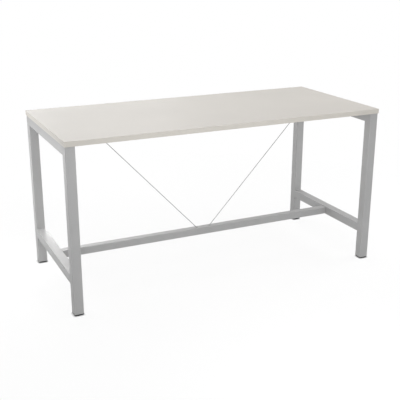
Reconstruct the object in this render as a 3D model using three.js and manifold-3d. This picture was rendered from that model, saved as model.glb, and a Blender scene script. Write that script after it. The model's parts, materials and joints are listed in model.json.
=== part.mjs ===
// Standing meeting table: a laminated top on two welded square-tube end frames. A foot rail and a
// spine beam join the frames, two tie wires brace them in a V, and each leg has a screw-adjusted foot.
// Millimetres, Z up. The origin is on the floor under the middle of the top, X runs along the table
// and the front is at -Y.

import * as THREE from "three";
import { mergeVertices } from "three/addons/utils/BufferGeometryUtils.js";
import Module from "manifold-3d";

// Overall sizes, with the feet screwed right in
const TABLE_LENGTH = 2200;
const TABLE_WIDTH = 975;
const TABLE_HEIGHT = 1100;
const OVERHANG = 4;

// Top: a faced board with a plastic band on each edge
const TOP_THICKNESS = 32;
const BAND_THICKNESS = 2;
const BAND_EDGE_RADIUS = 1;

// End frame tube: legs, top rails and cross rails
const FRAME_TUBE = 60;
const FRAME_WALL = 2;
const FRAME_CORNER = 2.5;

// Foot rail and spine beam, with the spigots that they sleeve over
const BEAM_TUBE = 50;
const BEAM_WALL = 2;
const BEAM_CORNER = 2.5;
const BEAM_END_GAP = 0.5;
const FOOT_RAIL_HEIGHT = 228;
const SPIGOT_LENGTH = 70;
const SPIGOT_WALL = 2.5;
const SPIGOT_CLEARANCE = 0.3;

// Socket-head lock screws, one up through each spigot
const LOCK_RADIUS = 4;
const LOCK_LENGTH = 9;
const LOCK_HEAD_RADIUS = 7;
const LOCK_HEAD_HEIGHT = 4;
const LOCK_SOCKET_RADIUS = 2.9;
const LOCK_SOCKET_DEPTH = 2.5;

// Pan-head screws that hold the top down, driven through access holes in the tubes
const TOP_SCREW_RADIUS = 2.5;
const TOP_SCREW_LENGTH = 25;
const TOP_SCREW_POINT = 4;
const TOP_SCREW_HEAD_RADIUS = 5.5;
const TOP_SCREW_HEAD_HEIGHT = 3.5;
const TOP_SCREW_FROM_LEG = 120;
const SPINE_SCREW_FROM_MIDDLE = 380;
const ACCESS_HOLE_RADIUS = 8;
const HOLE_CLEARANCE = 0.3;
const PILOT_SPARE_DEPTH = 1;

// Tie wires, their forks, rivet pins and tabs
const WIRE_RADIUS = 2;
const WIRE_PIN_FROM_FRAME = 284;
const WIRE_PIN_DROP = 16;
const WIRE_MEETING_DROP = 4;
const WIRE_CLEARANCE = 0.3;
const TAB_THICKNESS = 5;
const TAB_NOSE_RADIUS = 8;
const TAB_WELD_LENGTH = 36;
const PIN_RADIUS = 3;
const PIN_HEAD_RADIUS = 5;
const PIN_HEAD_HEIGHT = 2;
const FORK_CHEEK = 3;
const FORK_NOSE_RADIUS = 7;
const FORK_THROAT = 10;
const FORK_BRIDGE = 7;
const FORK_SLEEVE_RADIUS = 3.5;
const FORK_SLEEVE_LENGTH = 30;
const FORK_SOCKET_DEPTH = 24;

// Anchor block inside the foot rail, drawn down by the tension screw
const ANCHOR_LIFT = 6;
const ANCHOR_HEADROOM = 10;
const ANCHOR_TOP_WIDTH = 12.6;
const ANCHOR_SHOULDER = 4;
const ANCHOR_SIDE_CLEARANCE = 1;
const FERRULE_RADIUS = 3.5;
const FERRULE_LENGTH = 9;
const FERRULE_COVER = 8;
const WIRE_ENTRY_RADIUS = 5;
const TENSION_RADIUS = 3;
const TENSION_LENGTH = 30;
const TENSION_HEAD_RADIUS = 5.5;
const TENSION_HEAD_HEIGHT = 3.5;
const TENSION_SOCKET_RADIUS = 2.3;
const TENSION_SOCKET_DEPTH = 2;

// Foot: a plug in the tube end, a captive nut, a turning stem and a pad that swivels on it
const PAD_RADIUS = 27;
const PAD_EDGE_HEIGHT = 3;
const PAD_HEIGHT = 4.2;
const PAD_CHAMFER = 1;
const PAD_CROWN_RADIUS = 20;
const FOOT_GAP = 0.3;
const FLANGE_THICKNESS = 6;
const SOCKET_RADIUS = 10;
const SOCKET_HEIGHT = 9;
const SOCKET_FLOOR = 3;
const SOCKET_LIP = 2;
const BUTTON_RADIUS = 4.7;
const NECK_RADIUS = 3.7;
const STEM_RADIUS = 5;
const STEM_TOP = 62;
const STEM_CHAMFER = 1;
const STEM_HEX_RADIUS = 7.5;
const STEM_HEX_HEIGHT = 5;
const STEM_CLEARANCE = 0.3;
const PLUG_CLEARANCE = 0.3;
const PLUG_WALL = 2.5;
const PLUG_HEIGHT = 26;
const PLUG_RIB = 2.4;
const BOSS_WALL = 2.8;
const BOSS_SHELF = 9;
const COUNTERBORE_CLEARANCE = 0.6;
const NUT_HEX_RADIUS = 9.8;
const NUT_HEIGHT = 8;
const NUT_CLEARANCE = 0.3;

// Facets on round pieces
const ROUND_SIDES = 24;
const FASTENER_SIDES = 12;
const WIRE_SIDES = 10;
const HEX_SIDES = 6;
const CORNER_STEPS = 2;
const CUT_MARGIN = 1;

// Places that follow from those sizes
const UNDERSIDE = TABLE_HEIGHT - TOP_THICKNESS;
const FRAME_HALF_LENGTH = TABLE_LENGTH / 2 - OVERHANG;
const FRAME_HALF_WIDTH = TABLE_WIDTH / 2 - OVERHANG;
const LEG_X = FRAME_HALF_LENGTH - FRAME_TUBE / 2;
const LEG_Y = FRAME_HALF_WIDTH - FRAME_TUBE / 2;
const LEG_BOTTOM = PAD_HEIGHT + FOOT_GAP + FLANGE_THICKNESS;
const INNER_FACE_X = FRAME_HALF_LENGTH - FRAME_TUBE;
const RAIL_LENGTH = 2 * (FRAME_HALF_WIDTH - FRAME_TUBE);
const TOP_RAIL_Z = UNDERSIDE - FRAME_TUBE / 2;
const TOP_SCREW_Y = RAIL_LENGTH / 2 - TOP_SCREW_FROM_LEG;
const BEAM_LENGTH = 2 * (INNER_FACE_X - BEAM_END_GAP);
const BEAM_BORE = BEAM_TUBE - 2 * BEAM_WALL;
const SPINE_Z = UNDERSIDE - BEAM_TUBE / 2;
const SPIGOT_TUBE = BEAM_BORE - 2 * SPIGOT_CLEARANCE;
const LOCK_X = INNER_FACE_X - SPIGOT_LENGTH / 2;

// The wires' axes lie in the middle plane and meet just below the underside of the foot rail
const RAIL_UNDERSIDE = FOOT_RAIL_HEIGHT - BEAM_TUBE / 2;
const APEX_Z = RAIL_UNDERSIDE - WIRE_MEETING_DROP;
const PIN_X = INNER_FACE_X - WIRE_PIN_FROM_FRAME;
const PIN_Z = UNDERSIDE - BEAM_TUBE - WIRE_PIN_DROP;
const WIRE_SLOPE = Math.atan2(PIN_Z - APEX_Z, PIN_X);
const WIRE_RUN = Math.hypot(PIN_X, PIN_Z - APEX_Z);

// Heights of the anchor block above the apex, and distances from the apex along a wire
const ANCHOR_LOW = WIRE_MEETING_DROP + BEAM_WALL + ANCHOR_LIFT;
const ANCHOR_HIGH = WIRE_MEETING_DROP + BEAM_TUBE - BEAM_WALL - ANCHOR_HEADROOM;
const ANCHOR_FACE_DISTANCE =
  ANCHOR_TOP_WIDTH / 2 * Math.cos(WIRE_SLOPE) + ANCHOR_HIGH * Math.sin(WIRE_SLOPE);
const FERRULE_SEAT_DISTANCE = ANCHOR_FACE_DISTANCE - FERRULE_COVER;

const SIDES = [{ name: "left", sign: -1 }, { name: "right", sign: 1 }];
const ROWS = [{ name: "front", sign: -1 }, { name: "rear", sign: 1 }];

// Finishes
const FINISHES = {
  laminate: { color: 0xe3ded8, roughness: 0.5, metalness: 0 },
  edgeBand: { color: 0xd8d4cc, roughness: 0.55, metalness: 0 },
  silverPaint: { color: 0xb4b5b6, roughness: 0.45, metalness: 0.3 },
  blackPlastic: { color: 0x1b1b1c, roughness: 0.6, metalness: 0 },
  zincSteel: { color: 0xbfc2c6, roughness: 0.35, metalness: 0.9 },
  stainlessWire: { color: 0xa9abad, roughness: 0.3, metalness: 0.9 },
};

const wasm = await Module();
wasm.setup();

function addMesh(parent, name, geometry, finish) {
  const mesh = new THREE.Mesh(geometry, new THREE.MeshStandardMaterial(FINISHES[finish]));
  mesh.name = name;
  parent.add(mesh);
  return mesh;
}

function addGroup(parent, x, y, z) {
  const group = new THREE.Group();
  group.position.set(x, y, z);
  parent.add(group);
  return group;
}

// Closed geometry as a solid, with shared corners merged and collapsed triangles dropped
function toSolid(geometry) {
  const bare = geometry.clone();
  bare.deleteAttribute("normal");
  bare.deleteAttribute("uv");
  const merged = mergeVertices(bare);
  const corners = merged.index.array;
  const kept = [];
  for (let i = 0; i < corners.length; i += 3) {
    const [a, b, c] = [corners[i], corners[i + 1], corners[i + 2]];
    if (a !== b && b !== c && c !== a) kept.push(a, b, c);
  }
  const vertProperties = new Float32Array(merged.attributes.position.array);
  const triVerts = new Uint32Array(kept);
  return new wasm.Manifold(new wasm.Mesh({ numProp: 3, vertProperties, triVerts }));
}

function toGeometry(solid) {
  const mesh = solid.getMesh();
  const geometry = new THREE.BufferGeometry();
  geometry.setAttribute("position", new THREE.BufferAttribute(mesh.vertProperties, 3));
  geometry.setIndex(new THREE.BufferAttribute(mesh.triVerts, 1));
  geometry.computeVertexNormals();
  return geometry;
}

function join(...pieces) {
  return toGeometry(pieces.map(toSolid).reduce((whole, piece) => whole.add(piece)));
}

function cut(blank, ...tools) {
  return toGeometry(tools.map(toSolid).reduce((left, tool) => left.subtract(tool), toSolid(blank)));
}

// A square outline about the origin, with its corners rounded where a radius is given
function squareOutline(size, radius, PathType) {
  const half = size / 2;
  const inner = half - radius;
  const outline = new PathType();
  outline.moveTo(half, -inner);
  outline.absarc(inner, inner, radius, 0, Math.PI / 2, false);
  outline.absarc(-inner, inner, radius, Math.PI / 2, Math.PI, false);
  outline.absarc(-inner, -inner, radius, Math.PI, 1.5 * Math.PI, false);
  outline.absarc(inner, -inner, radius, 1.5 * Math.PI, 2 * Math.PI, false);
  return outline;
}

function extrude(shape, depth) {
  return new THREE.ExtrudeGeometry(shape, { depth, bevelEnabled: false, curveSegments: CORNER_STEPS });
}

function squareBar(size, radius, length) {
  return extrude(squareOutline(size, radius, THREE.Shape), length);
}

// A square tube that stands on the XY plane, open at both ends
function squareTube(size, wall, radius, length) {
  const section = squareOutline(size, radius, THREE.Shape);
  section.holes.push(squareOutline(size - 2 * wall, Math.max(radius - wall, wall / 4), THREE.Path));
  return extrude(section, length);
}

// The same tube centred on the origin and laid along X or Y
function tubeAlongX(size, wall, radius, length) {
  return squareTube(size, wall, radius, length).translate(0, 0, -length / 2).rotateY(Math.PI / 2);
}

function tubeAlongY(size, wall, radius, length) {
  return squareTube(size, wall, radius, length).translate(0, 0, -length / 2).rotateX(-Math.PI / 2);
}

// A round or hexagonal bar on the Z axis, between two heights
function rod(radius, low, high, sides = ROUND_SIDES) {
  const bar = new THREE.CylinderGeometry(radius, radius, high - low, sides);
  return bar.rotateX(Math.PI / 2).translate(0, 0, (low + high) / 2);
}

// The room that a screw or a wire needs, on the Z axis between two heights
function screwHole(radius, low, high) {
  return rod(radius + HOLE_CLEARANCE, low, high, FASTENER_SIDES);
}

function wireBore(low, high) {
  return rod(WIRE_RADIUS + WIRE_CLEARANCE, low, high, FASTENER_SIDES);
}

// A turned piece from [radius, height] pairs, bottom to top, about the Z axis
function turned(profile, sides = ROUND_SIDES) {
  const points = profile.map(([radius, height]) => new THREE.Vector2(radius, height));
  return new THREE.LatheGeometry(points, sides).rotateX(Math.PI / 2);
}

// A screw that points up from z = 0, its head hanging below and hollowed by a hexagonal socket
function socketScrew(radius, length, headRadius, headHeight, socketRadius, socketDepth) {
  const edge = headHeight / 3;
  const blank = turned([
    [0, -headHeight],
    [headRadius - edge, -headHeight],
    [headRadius, edge - headHeight],
    [headRadius, 0],
    [radius, 0],
    [radius, length],
    [0, length],
  ], FASTENER_SIDES);
  const socket = rod(socketRadius, -headHeight - CUT_MARGIN, socketDepth - headHeight, HEX_SIDES);
  return cut(blank, socket);
}

function makeTop(table) {
  const boardLength = TABLE_LENGTH - 2 * BAND_THICKNESS;
  const boardWidth = TABLE_WIDTH - 2 * BAND_THICKNESS;
  const top = addGroup(table, 0, 0, UNDERSIDE);

  const pilotTop = TOP_SCREW_LENGTH - FRAME_WALL + PILOT_SPARE_DEPTH;
  const spinePilotTop = TOP_SCREW_LENGTH - BEAM_WALL + PILOT_SPARE_DEPTH;
  const pilots = [];
  for (const side of SIDES) {
    for (const row of ROWS) {
      const pilot = screwHole(TOP_SCREW_RADIUS, -CUT_MARGIN, pilotTop);
      pilots.push(pilot.translate(side.sign * LEG_X, row.sign * TOP_SCREW_Y, 0));
    }
    const spinePilot = screwHole(TOP_SCREW_RADIUS, -CUT_MARGIN, spinePilotTop);
    pilots.push(spinePilot.translate(side.sign * SPINE_SCREW_FROM_MIDDLE, 0, 0));
  }
  const board = new THREE.BoxGeometry(boardLength, boardWidth, TOP_THICKNESS);
  addMesh(top, "top_board", cut(board.translate(0, 0, TOP_THICKNESS / 2), ...pilots), "laminate");

  // The long bands cover the ends of the short ones
  const bands = [
    { name: "front", turn: -Math.PI / 2, length: TABLE_LENGTH, x: 0, y: -boardWidth / 2 },
    { name: "rear", turn: Math.PI / 2, length: TABLE_LENGTH, x: 0, y: boardWidth / 2 },
    { name: "left", turn: Math.PI, length: boardWidth, x: -boardLength / 2, y: 0 },
    { name: "right", turn: 0, length: boardWidth, x: boardLength / 2, y: 0 },
  ];
  for (const band of bands) {
    const mesh = addMesh(top, `edge_band_${band.name}`, edgeBand(band.length), "edgeBand");
    mesh.position.set(band.x, band.y, 0);
    mesh.rotation.z = band.turn;
  }
}

// A band that lies along Y with its outer face towards +X, both long outer edges eased
function edgeBand(length) {
  const ease = BAND_EDGE_RADIUS;
  const section = new THREE.Shape();
  section.moveTo(0, 0);
  section.lineTo(BAND_THICKNESS - ease, 0);
  section.absarc(BAND_THICKNESS - ease, ease, ease, -Math.PI / 2, 0, false);
  section.absarc(BAND_THICKNESS - ease, TOP_THICKNESS - ease, ease, 0, Math.PI / 2, false);
  section.lineTo(0, TOP_THICKNESS);
  return extrude(section, length).rotateX(Math.PI / 2).translate(0, length / 2, 0);
}

function makeEndFrame(table, side) {
  const frame = addGroup(table, side.sign * LEG_X, 0, 0);
  for (const row of ROWS) {
    const legTube = squareTube(FRAME_TUBE, FRAME_WALL, FRAME_CORNER, UNDERSIDE - LEG_BOTTOM);
    const leg = addMesh(frame, `leg_${side.name}_${row.name}`, legTube, "silverPaint");
    leg.position.set(0, row.sign * LEG_Y, LEG_BOTTOM);
  }

  const crossTube = tubeAlongY(FRAME_TUBE, FRAME_WALL, FRAME_CORNER, RAIL_LENGTH);
  addMesh(frame, `cross_rail_${side.name}`, crossTube, "silverPaint").position.z = FOOT_RAIL_HEIGHT;

  const topTube = tubeAlongY(FRAME_TUBE, FRAME_WALL, FRAME_CORNER, RAIL_LENGTH);
  const holes = ROWS.flatMap((row) => screwHoles(FRAME_TUBE, 0, row.sign * TOP_SCREW_Y));
  addMesh(frame, `top_rail_${side.name}`, cut(topTube, ...holes), "silverPaint").position.z = TOP_RAIL_Z;

  for (const row of ROWS) {
    const screw = addMesh(frame, `top_screw_${side.name}_${row.name}`, topScrew(), "zincSteel");
    screw.position.set(0, row.sign * TOP_SCREW_Y, UNDERSIDE - FRAME_WALL);
  }
}

// A clearance hole in a tube's upper wall with a wide access hole in the wall below it
function screwHoles(size, x, y) {
  const reach = size / 2 + CUT_MARGIN;
  return [
    screwHole(TOP_SCREW_RADIUS, 0, reach).translate(x, y, 0),
    rod(ACCESS_HOLE_RADIUS, -reach, 0, FASTENER_SIDES).translate(x, y, 0),
  ];
}

// A pointed screw whose head bears upwards at z = 0
function topScrew() {
  const dome = TOP_SCREW_HEAD_HEIGHT / 2;
  return turned([
    [0, -TOP_SCREW_HEAD_HEIGHT],
    [TOP_SCREW_HEAD_RADIUS - dome, -TOP_SCREW_HEAD_HEIGHT],
    [TOP_SCREW_HEAD_RADIUS, -dome],
    [TOP_SCREW_HEAD_RADIUS, 0],
    [TOP_SCREW_RADIUS, 0],
    [TOP_SCREW_RADIUS, TOP_SCREW_LENGTH - TOP_SCREW_POINT],
    [0, TOP_SCREW_LENGTH],
  ], FASTENER_SIDES);
}

function makeBeams(table) {
  const lockHoles = () => SIDES.map((side) => {
    const low = -BEAM_TUBE / 2 - CUT_MARGIN;
    return screwHole(LOCK_RADIUS, low, 0).translate(side.sign * LOCK_X, 0, 0);
  });
  const beamTube = () => tubeAlongX(BEAM_TUBE, BEAM_WALL, BEAM_CORNER, BEAM_LENGTH);

  const wireEntries = SIDES.map((side) => {
    const tool = rod(WIRE_ENTRY_RADIUS, BEAM_TUBE / 2, 2 * BEAM_TUBE, FASTENER_SIDES);
    return tool.rotateY(wireTurn(side)).translate(0, 0, APEX_Z - FOOT_RAIL_HEIGHT);
  });
  const tensionHole = screwHole(TENSION_RADIUS, -BEAM_TUBE / 2 - CUT_MARGIN, 0);
  const footRail = cut(beamTube(), ...lockHoles(), ...wireEntries, tensionHole);
  addMesh(table, "foot_rail", footRail, "silverPaint").position.z = FOOT_RAIL_HEIGHT;
  makeSpigots(table, "foot", FOOT_RAIL_HEIGHT);

  const boardHoles = SIDES.flatMap((side) => {
    return screwHoles(BEAM_TUBE, side.sign * SPINE_SCREW_FROM_MIDDLE, 0);
  });
  const spine = cut(beamTube(), ...lockHoles(), ...boardHoles);
  addMesh(table, "spine_beam", spine, "silverPaint").position.z = SPINE_Z;
  makeSpigots(table, "spine", SPINE_Z);
  for (const side of SIDES) {
    const screw = addMesh(table, `spine_screw_${side.name}`, topScrew(), "zincSteel");
    screw.position.set(side.sign * SPINE_SCREW_FROM_MIDDLE, 0, UNDERSIDE - BEAM_WALL);
  }
}

// Short tubes welded to the end frames, each locked to its beam by a screw from below
function makeSpigots(table, beam, height) {
  const corner = Math.max(BEAM_CORNER - BEAM_WALL, SPIGOT_CLEARANCE);
  for (const side of SIDES) {
    const blank = tubeAlongX(SPIGOT_TUBE, SPIGOT_WALL, corner, SPIGOT_LENGTH);
    const hole = screwHole(LOCK_RADIUS, -BEAM_TUBE / 2, 0);
    const spigot = addMesh(table, `${beam}_spigot_${side.name}`, cut(blank, hole), "silverPaint");
    spigot.position.set(side.sign * LOCK_X, 0, height);

    const screw = socketScrew(
      LOCK_RADIUS, LOCK_LENGTH, LOCK_HEAD_RADIUS, LOCK_HEAD_HEIGHT, LOCK_SOCKET_RADIUS, LOCK_SOCKET_DEPTH,
    );
    const lock = addMesh(table, `${beam}_lock_screw_${side.name}`, screw, "zincSteel");
    lock.position.set(side.sign * LOCK_X, 0, height - BEAM_TUBE / 2);
  }
}

// The turn about Y that leans a piece from the Z axis onto one wire's axis
function wireTurn(side) {
  return side.sign * (Math.PI / 2 - WIRE_SLOPE);
}

function makeWire(table, side) {
  const tab = addMesh(table, `wire_tab_${side.name}`, wireTab(), "silverPaint");
  tab.position.set(side.sign * PIN_X, 0, PIN_Z);

  // Along this leaning group's Z axis, heights are distances from the apex
  const lean = addGroup(table, 0, 0, APEX_Z);
  lean.rotation.y = wireTurn(side);
  const wireLow = FERRULE_SEAT_DISTANCE - WIRE_CLEARANCE - FERRULE_LENGTH;
  const sleeveLow = WIRE_RUN - FORK_THROAT - FORK_BRIDGE - FORK_SLEEVE_LENGTH;
  const wireHigh = sleeveLow + FORK_SOCKET_DEPTH - WIRE_CLEARANCE;
  const wire = rod(WIRE_RADIUS, wireLow, wireHigh, WIRE_SIDES);
  addMesh(lean, `tie_wire_${side.name}`, wire, "stainlessWire");

  const ferruleHigh = wireLow + FERRULE_LENGTH;
  const ferrule = turned([
    [WIRE_RADIUS + WIRE_CLEARANCE, wireLow],
    [FERRULE_RADIUS, wireLow],
    [FERRULE_RADIUS, ferruleHigh],
    [WIRE_RADIUS + WIRE_CLEARANCE, ferruleHigh],
    [WIRE_RADIUS + WIRE_CLEARANCE, wireLow],
  ], FASTENER_SIDES);
  addMesh(lean, `wire_ferrule_${side.name}`, ferrule, "zincSteel");

  const eye = addGroup(lean, 0, 0, WIRE_RUN);
  addMesh(eye, `wire_fork_${side.name}`, wireFork(), "zincSteel");
  addMesh(eye, `wire_pin_${side.name}`, rivetPin(), "zincSteel");
}

// The outline of an eye: round about the origin, with straight sides that spread to a foot
function eyeOutline(noseRadius, footWidth, footHeight) {
  const reach = Math.hypot(footWidth / 2, footHeight);
  const tangent = Math.acos(noseRadius / reach) - Math.atan2(footHeight, footWidth / 2);
  const outline = new THREE.Shape();
  outline.moveTo(footWidth / 2, footHeight);
  outline.lineTo(-footWidth / 2, footHeight);
  outline.absarc(0, 0, noseRadius, Math.PI + tangent, 2 * Math.PI - tangent, false);
  return outline;
}

// Cross-ways bar through an eye, on the Y axis
function crossBar(radius, length) {
  return new THREE.CylinderGeometry(radius, radius, length, FASTENER_SIDES);
}

// A plate welded under the spine beam, its eye about the origin
function wireTab() {
  const outline = eyeOutline(TAB_NOSE_RADIUS, TAB_WELD_LENGTH, WIRE_PIN_DROP);
  const plate = extrudeAcross(outline, TAB_THICKNESS);
  return cut(plate, crossBar(PIN_RADIUS + WIRE_CLEARANCE, 2 * TAB_THICKNESS));
}

// An outline in X and Z, given thickness along Y about the middle plane
function extrudeAcross(outline, thickness) {
  const plate = new THREE.ExtrudeGeometry(outline, {
    depth: thickness, bevelEnabled: false, curveSegments: ROUND_SIDES / 4,
  });
  return plate.rotateX(Math.PI / 2).translate(0, thickness / 2, 0);
}

function forkWidth() {
  return TAB_THICKNESS + 2 * (WIRE_CLEARANCE + FORK_CHEEK);
}

// Two cheeks about the tab, a bridge below them and a sleeve that is crimped on the wire
function wireFork() {
  const bridgeLow = -FORK_THROAT - FORK_BRIDGE;
  const sleeveLow = bridgeLow - FORK_SLEEVE_LENGTH;
  const outline = new THREE.Shape();
  outline.moveTo(-FORK_NOSE_RADIUS, bridgeLow);
  outline.lineTo(FORK_NOSE_RADIUS, bridgeLow);
  outline.absarc(0, 0, FORK_NOSE_RADIUS, 0, Math.PI, false);
  const head = extrudeAcross(outline, forkWidth());
  const sleeve = rod(FORK_SLEEVE_RADIUS, sleeveLow, bridgeLow + FORK_BRIDGE / 2, FASTENER_SIDES);

  const slotHeight = FORK_THROAT + FORK_NOSE_RADIUS + CUT_MARGIN;
  const slotWidth = 2 * (FORK_NOSE_RADIUS + CUT_MARGIN);
  const slot = new THREE.BoxGeometry(slotWidth, TAB_THICKNESS + 2 * WIRE_CLEARANCE, slotHeight);
  slot.translate(0, 0, slotHeight / 2 - FORK_THROAT);
  const socket = wireBore(sleeveLow - CUT_MARGIN, sleeveLow + FORK_SOCKET_DEPTH);
  const eye = crossBar(PIN_RADIUS + WIRE_CLEARANCE, 2 * forkWidth());
  return cut(join(head, sleeve), slot, socket, eye);
}

// A headed pin, riveted over at its other end
function rivetPin() {
  const inner = forkWidth() / 2 + WIRE_CLEARANCE;
  const outer = inner + PIN_HEAD_HEIGHT;
  const profile = [
    [0, -outer],
    [PIN_HEAD_RADIUS - PIN_HEAD_HEIGHT / 2, -outer],
    [PIN_HEAD_RADIUS, -inner - PIN_HEAD_HEIGHT / 2],
    [PIN_HEAD_RADIUS, -inner],
    [PIN_RADIUS, -inner],
    [PIN_RADIUS, inner],
    [PIN_HEAD_RADIUS, inner],
    [PIN_HEAD_RADIUS, inner + PIN_HEAD_HEIGHT / 2],
    [PIN_HEAD_RADIUS - PIN_HEAD_HEIGHT / 2, outer],
    [0, outer],
  ];
  return turned(profile, FASTENER_SIDES).rotateX(-Math.PI / 2);
}

// A block with a face square to each wire; the wires pass through it to their ferrules
function makeAnchor(table) {
  const shoulder = ANCHOR_LOW + ANCHOR_SHOULDER;
  const faceX = (z) => (ANCHOR_FACE_DISTANCE - z * Math.sin(WIRE_SLOPE)) / Math.cos(WIRE_SLOPE);
  const outline = new THREE.Shape();
  outline.moveTo(-faceX(shoulder), ANCHOR_LOW);
  outline.lineTo(faceX(shoulder), ANCHOR_LOW);
  outline.lineTo(faceX(shoulder), shoulder);
  outline.lineTo(faceX(ANCHOR_HIGH), ANCHOR_HIGH);
  outline.lineTo(-faceX(ANCHOR_HIGH), ANCHOR_HIGH);
  outline.lineTo(-faceX(shoulder), shoulder);
  const block = extrudeAcross(outline, BEAM_BORE - 2 * ANCHOR_SIDE_CLEARANCE);

  const wireBores = SIDES.flatMap((side) => {
    const seat = rod(FERRULE_RADIUS + WIRE_CLEARANCE, 0, FERRULE_SEAT_DISTANCE, FASTENER_SIDES);
    const bore = wireBore(0, 2 * ANCHOR_FACE_DISTANCE);
    return [seat.rotateY(wireTurn(side)), bore.rotateY(wireTurn(side))];
  });
  const boreTop = WIRE_MEETING_DROP + TENSION_LENGTH + CUT_MARGIN;
  const screwBore = screwHole(TENSION_RADIUS, 0, boreTop);
  const anchor = addMesh(table, "wire_anchor", cut(block, ...wireBores, screwBore), "zincSteel");
  anchor.position.z = APEX_Z;

  const screw = socketScrew(
    TENSION_RADIUS, TENSION_LENGTH, TENSION_HEAD_RADIUS, TENSION_HEAD_HEIGHT,
    TENSION_SOCKET_RADIUS, TENSION_SOCKET_DEPTH,
  );
  addMesh(table, "wire_tension_screw", screw, "zincSteel").position.z = RAIL_UNDERSIDE;
}

function makeFoot(table, side, row) {
  const foot = addGroup(table, side.sign * LEG_X, row.sign * LEG_Y, 0);
  const place = `${side.name}_${row.name}`;
  addMesh(foot, `foot_insert_${place}`, footInsert(), "blackPlastic");
  addMesh(foot, `foot_nut_${place}`, footNut(), "zincSteel");
  addMesh(foot, `foot_stem_${place}`, footStem(), "zincSteel");
  addMesh(foot, `foot_pad_${place}`, footPad(), "blackPlastic");
}

// Heights inside the foot, from the floor with the stem screwed right in
const HEX_LOW = SOCKET_HEIGHT + STEM_CLEARANCE;
const HEX_HIGH = HEX_LOW + STEM_HEX_HEIGHT;
const COUNTERBORE_TOP = HEX_HIGH + CUT_MARGIN;
const NUT_LOW = COUNTERBORE_TOP + BOSS_SHELF;
const NUT_HIGH = NUT_LOW + NUT_HEIGHT;

// A ribbed plug that closes the tube end, with a hollow boss for the nut above and the socket below
function footInsert() {
  const low = PAD_HEIGHT + FOOT_GAP;
  const plugTop = LEG_BOTTOM + PLUG_HEIGHT;
  const plugSize = FRAME_TUBE - 2 * FRAME_WALL - 2 * PLUG_CLEARANCE;
  const plugCorner = Math.max(FRAME_CORNER - FRAME_WALL, PLUG_CLEARANCE);
  const bossRadius = Math.max(SOCKET_RADIUS + COUNTERBORE_CLEARANCE, NUT_HEX_RADIUS) + BOSS_WALL;

  const flange = squareBar(FRAME_TUBE, FRAME_CORNER, FLANGE_THICKNESS).translate(0, 0, low);
  const walls = squareTube(plugSize, PLUG_WALL, plugCorner, plugTop - low).translate(0, 0, low);
  const boss = rod(bossRadius, low, NUT_HIGH);
  const ribHeight = NUT_LOW - low;
  const ribLength = plugSize - PLUG_WALL;
  const ribMiddle = low + ribHeight / 2;
  const ribX = new THREE.BoxGeometry(ribLength, PLUG_RIB, ribHeight).translate(0, 0, ribMiddle);
  const ribY = new THREE.BoxGeometry(PLUG_RIB, ribLength, ribHeight).translate(0, 0, ribMiddle);

  const counterbore = rod(SOCKET_RADIUS + COUNTERBORE_CLEARANCE, low - CUT_MARGIN, COUNTERBORE_TOP);
  const bore = rod(STEM_RADIUS + STEM_CLEARANCE, low, NUT_HIGH);
  const nutPocket = rod(NUT_HEX_RADIUS + NUT_CLEARANCE, NUT_LOW, NUT_HIGH + CUT_MARGIN, HEX_SIDES);
  return cut(join(flange, walls, boss, ribX, ribY), counterbore, bore, nutPocket);
}

function footNut() {
  const blank = rod(NUT_HEX_RADIUS, NUT_LOW, NUT_HIGH, HEX_SIDES);
  return cut(blank, rod(STEM_RADIUS + STEM_CLEARANCE, NUT_LOW - CUT_MARGIN, NUT_HIGH + CUT_MARGIN));
}

// A stud with a spanner hexagon, necked to a button that the pad's socket holds
function footStem() {
  const buttonLow = SOCKET_FLOOR + STEM_CLEARANCE;
  const buttonHigh = SOCKET_HEIGHT - SOCKET_LIP - STEM_CLEARANCE;
  const shaft = turned([
    [0, buttonLow],
    [BUTTON_RADIUS, buttonLow],
    [BUTTON_RADIUS, buttonHigh],
    [NECK_RADIUS, buttonHigh],
    [NECK_RADIUS, HEX_LOW],
    [STEM_RADIUS, HEX_LOW],
    [STEM_RADIUS, STEM_TOP - STEM_CHAMFER],
    [STEM_RADIUS - STEM_CHAMFER, STEM_TOP],
    [0, STEM_TOP],
  ]);
  return join(shaft, rod(STEM_HEX_RADIUS, HEX_LOW, HEX_HIGH, HEX_SIDES));
}

// A crowned disc with a lipped socket in its middle
function footPad() {
  const cavity = BUTTON_RADIUS + STEM_CLEARANCE;
  const lipRadius = NECK_RADIUS + STEM_CLEARANCE;
  return turned([
    [0, 0],
    [PAD_RADIUS - PAD_CHAMFER, 0],
    [PAD_RADIUS, PAD_CHAMFER],
    [PAD_RADIUS, PAD_EDGE_HEIGHT],
    [PAD_CROWN_RADIUS, PAD_HEIGHT],
    [SOCKET_RADIUS, PAD_HEIGHT],
    [SOCKET_RADIUS, SOCKET_HEIGHT],
    [lipRadius, SOCKET_HEIGHT],
    [lipRadius, SOCKET_HEIGHT - SOCKET_LIP],
    [cavity, SOCKET_HEIGHT - SOCKET_LIP],
    [cavity, SOCKET_FLOOR],
    [0, SOCKET_FLOOR],
  ]);
}

const table = new THREE.Group();
makeTop(table);
makeBeams(table);
makeAnchor(table);
for (const side of SIDES) {
  makeEndFrame(table, side);
  makeWire(table, side);
  for (const row of ROWS) makeFoot(table, side, row);
}

export default table;
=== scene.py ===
import json
import math

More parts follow.
